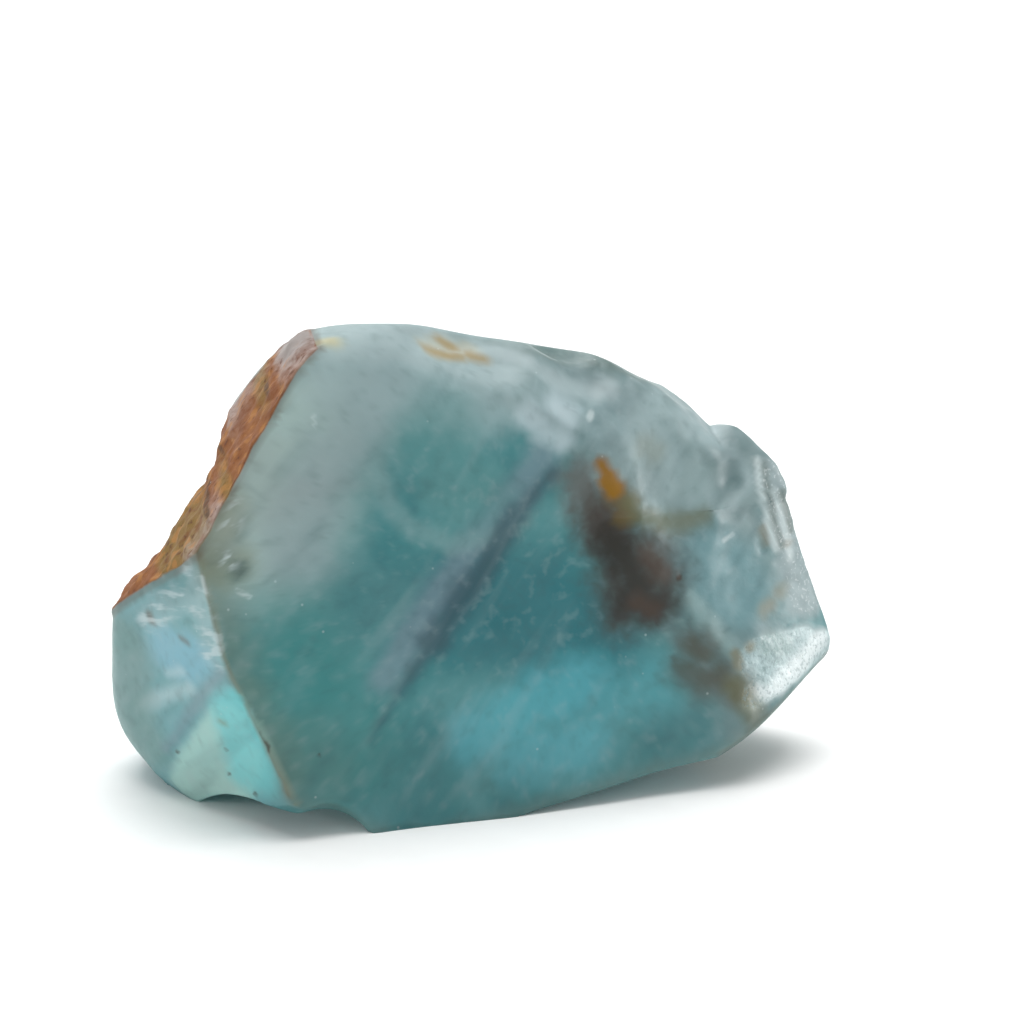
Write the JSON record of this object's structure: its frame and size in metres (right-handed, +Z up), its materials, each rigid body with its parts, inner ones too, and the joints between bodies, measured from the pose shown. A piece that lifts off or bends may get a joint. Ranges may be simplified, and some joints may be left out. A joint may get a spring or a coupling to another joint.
{
  "type": "raw fluorite",
  "caption": "Raw lump of translucent blue-green fluorite with one large cleavage face, a sharp front edge, an iron-stained crust and a flat face to rest on, for display.",
  "frame": {"origin": "middle of the box, in the plane of the flat face that the stone rests on", "axes": "+Z up, +X along the stone's length, -Y out of the large cleavage face"},
  "size_m": [0.043, 0.0252, 0.028],
  "materials": {
    "fluorite": "translucent crystal, satin broken and cleaved faces, rust-orange iron crust on the upper left edge"
  },
  "bodies": {
    "root": {"raw_fluorite": "fluorite"}
  },
  "joints": []
}
